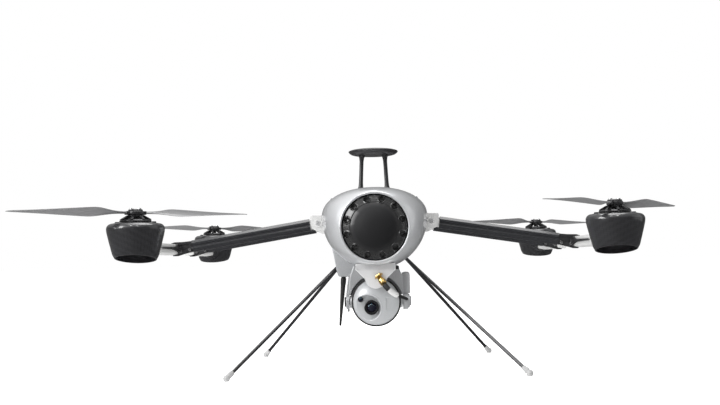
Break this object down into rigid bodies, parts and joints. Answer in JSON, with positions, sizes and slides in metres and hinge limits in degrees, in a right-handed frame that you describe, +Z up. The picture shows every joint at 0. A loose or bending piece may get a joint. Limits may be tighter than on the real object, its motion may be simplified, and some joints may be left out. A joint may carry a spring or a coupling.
{
  "type": "quadcopter drone",
  "caption": "Folding quadcopter with a silver nose-battery body, paired side arms carrying ducted motor pods, a tilting camera ball and splayed plug-in legs.",
  "frame": {"origin": "on the ground, midway between the legs' extents, under the middle of the aircraft", "axes": "+Z up, -Y towards the nose, +X towards the aircraft's own left side"},
  "size_m": [0.7382, 0.7478, 0.2895],
  "materials": {
    "body_paint": "silver paint with fine metallic flake under clear gloss",
    "grey_paint": "light grey satin paint",
    "carbon": "black carbon composite, satin",
    "carbon_gloss": "black carbon weave under clear gloss",
    "white_plastic": "white moulded plastic",
    "black_plastic": "near-black moulded plastic, fine grain",
    "black_metal": "black anodised",
    "motor_metal": "machined, with copper windings",
    "steel": "bright screws and pins",
    "propeller": "grey glass-filled plastic",
    "circuit_board": "green solder mask",
    "battery_wrap": "dark shrink wrap",
    "gold": "gold plated",
    "cable": "black jacket with a white boot",
    "foot_rubber": "white rubber",
    "antenna_rubber": "matt black sleeve",
    "seal": "black gasket",
    "lens_glass": "coated lens"
  },
  "bodies": {
    "root": {"upper_shell": "body_paint", "lower_shell": "body_paint", "front_cowl": "body_paint", "rear_cover": "body_paint", "center_frame": "black_plastic", "battery_sleeve": "black_plastic", "main_board": "circuit_board", "arm_collars": "white_plastic", "hinge_pins": "steel", "gps_struts": "black_plastic", "gps_antenna": "black_plastic", "antenna_housing": "body_paint", "neck_plate": "body_paint", "gimbal_yoke": "grey_paint", "tilt_motor": "black_metal", "gimbal_connector": "gold", "gimbal_cable": "cable", "shell_screws": "steel", "leg_rods": "carbon", "leg_feet": "foot_rubber"},
    "front_left_arm": {"front_left_arm_tube": "carbon", "front_left_arm_fork": "black_plastic", "front_left_fork_screws": "steel", "front_left_boom": "white_plastic", "front_left_pod_shell": "carbon_gloss", "front_left_motor_base": "motor_metal"},
    "front_left_rotor": {"front_left_rotor_bell": "black_metal", "front_left_propeller": "propeller"},
    "front_right_arm": {"front_right_arm_tube": "carbon", "front_right_arm_fork": "black_plastic", "front_right_fork_screws": "steel", "front_right_boom": "white_plastic", "front_right_pod_shell": "carbon_gloss", "front_right_motor_base": "motor_metal"},
    "front_right_rotor": {"front_right_rotor_bell": "black_metal", "front_right_propeller": "propeller"},
    "rear_left_arm": {"rear_left_arm_tube": "carbon", "rear_left_arm_fork": "black_plastic", "rear_left_fork_screws": "steel", "rear_left_boom": "white_plastic", "rear_left_pod_shell": "carbon_gloss", "rear_left_motor_base": "motor_metal"},
    "rear_left_rotor": {"rear_left_rotor_bell": "black_metal", "rear_left_propeller": "propeller"},
    "rear_right_arm": {"rear_right_arm_tube": "carbon", "rear_right_arm_fork": "black_plastic", "rear_right_fork_screws": "steel", "rear_right_boom": "white_plastic", "rear_right_pod_shell": "carbon_gloss", "rear_right_motor_base": "motor_metal"},
    "rear_right_rotor": {"rear_right_rotor_bell": "black_metal", "rear_right_propeller": "propeller"},
    "camera_ball": {"ball_front_shell": "grey_paint", "ball_rear_shell": "grey_paint", "ball_gasket": "seal", "camera_lenses": "lens_glass"},
    "battery": {"battery_pack": "battery_wrap"},
    "battery_twist_cap": {"battery_cap": "black_plastic"},
    "whip": {"whip_antenna": "antenna_rubber"},
    "release_button": {"latch_button": "black_plastic"}
  },
  "joints": [
    {"name": "front_left_arm_fold", "type": "hinge", "parent": "root", "child": "front_left_arm", "pos_m": [0.072, -0.059, 0.1885], "axis": [0, 1, 0], "range_deg": [0, 40]},
    {"name": "front_left_rotor_spin", "type": "hinge", "parent": "front_left_arm", "child": "front_left_rotor", "pos_m": [0.259, -0.27, 0.196], "axis": [0, 0, 1], "continuous": true},
    {"name": "front_right_arm_fold", "type": "hinge", "parent": "root", "child": "front_right_arm", "pos_m": [-0.072, -0.059, 0.1885], "axis": [0, -1, 0], "range_deg": [0, 40]},
    {"name": "front_right_rotor_spin", "type": "hinge", "parent": "front_right_arm", "child": "front_right_rotor", "pos_m": [-0.259, -0.27, 0.196], "axis": [0, 0, 1], "continuous": true},
    {"name": "rear_left_arm_fold", "type": "hinge", "parent": "root", "child": "rear_left_arm", "pos_m": [0.072, 0.059, 0.1885], "axis": [0, 1, 0], "range_deg": [0, 40]},
    {"name": "rear_left_rotor_spin", "type": "hinge", "parent": "rear_left_arm", "child": "rear_left_rotor", "pos_m": [0.259, 0.27, 0.196], "axis": [0, 0, 1], "continuous": true},
    {"name": "rear_right_arm_fold", "type": "hinge", "parent": "root", "child": "rear_right_arm", "pos_m": [-0.072, 0.059, 0.1885], "axis": [0, -1, 0], "range_deg": [0, 40]},
    {"name": "rear_right_rotor_spin", "type": "hinge", "parent": "rear_right_arm", "child": "rear_right_rotor", "pos_m": [-0.259, 0.27, 0.196], "axis": [0, 0, 1], "continuous": true},
    {"name": "camera_tilt", "type": "hinge", "parent": "root", "child": "camera_ball", "pos_m": [0, -0.095, 0.0885], "axis": [1, 0, 0], "range_deg": [-30, 90]},
    {"name": "battery_slide", "type": "slide", "parent": "root", "child": "battery", "axis": [0, -1, 0], "range_m": [0, 0.19]},
    {"name": "cap_turn", "type": "hinge", "parent": "battery", "child": "battery_twist_cap", "pos_m": [0, -0.139, 0.1795], "axis": [0, 1, 0], "range_deg": [0, 60]},
    {"name": "whip_swivel", "type": "hinge", "parent": "root", "child": "whip", "pos_m": [-0.041, -0.057, 0.122], "axis": [1, 0, 0], "range_deg": [0, 80]},
    {"name": "button_press", "type": "slide", "parent": "root", "child": "release_button", "axis": [-1, 0, 0], "range_m": [0, 0.0015], "stiffness_N_per_m": 400, "springref_m": -0.0005}
  ]
}
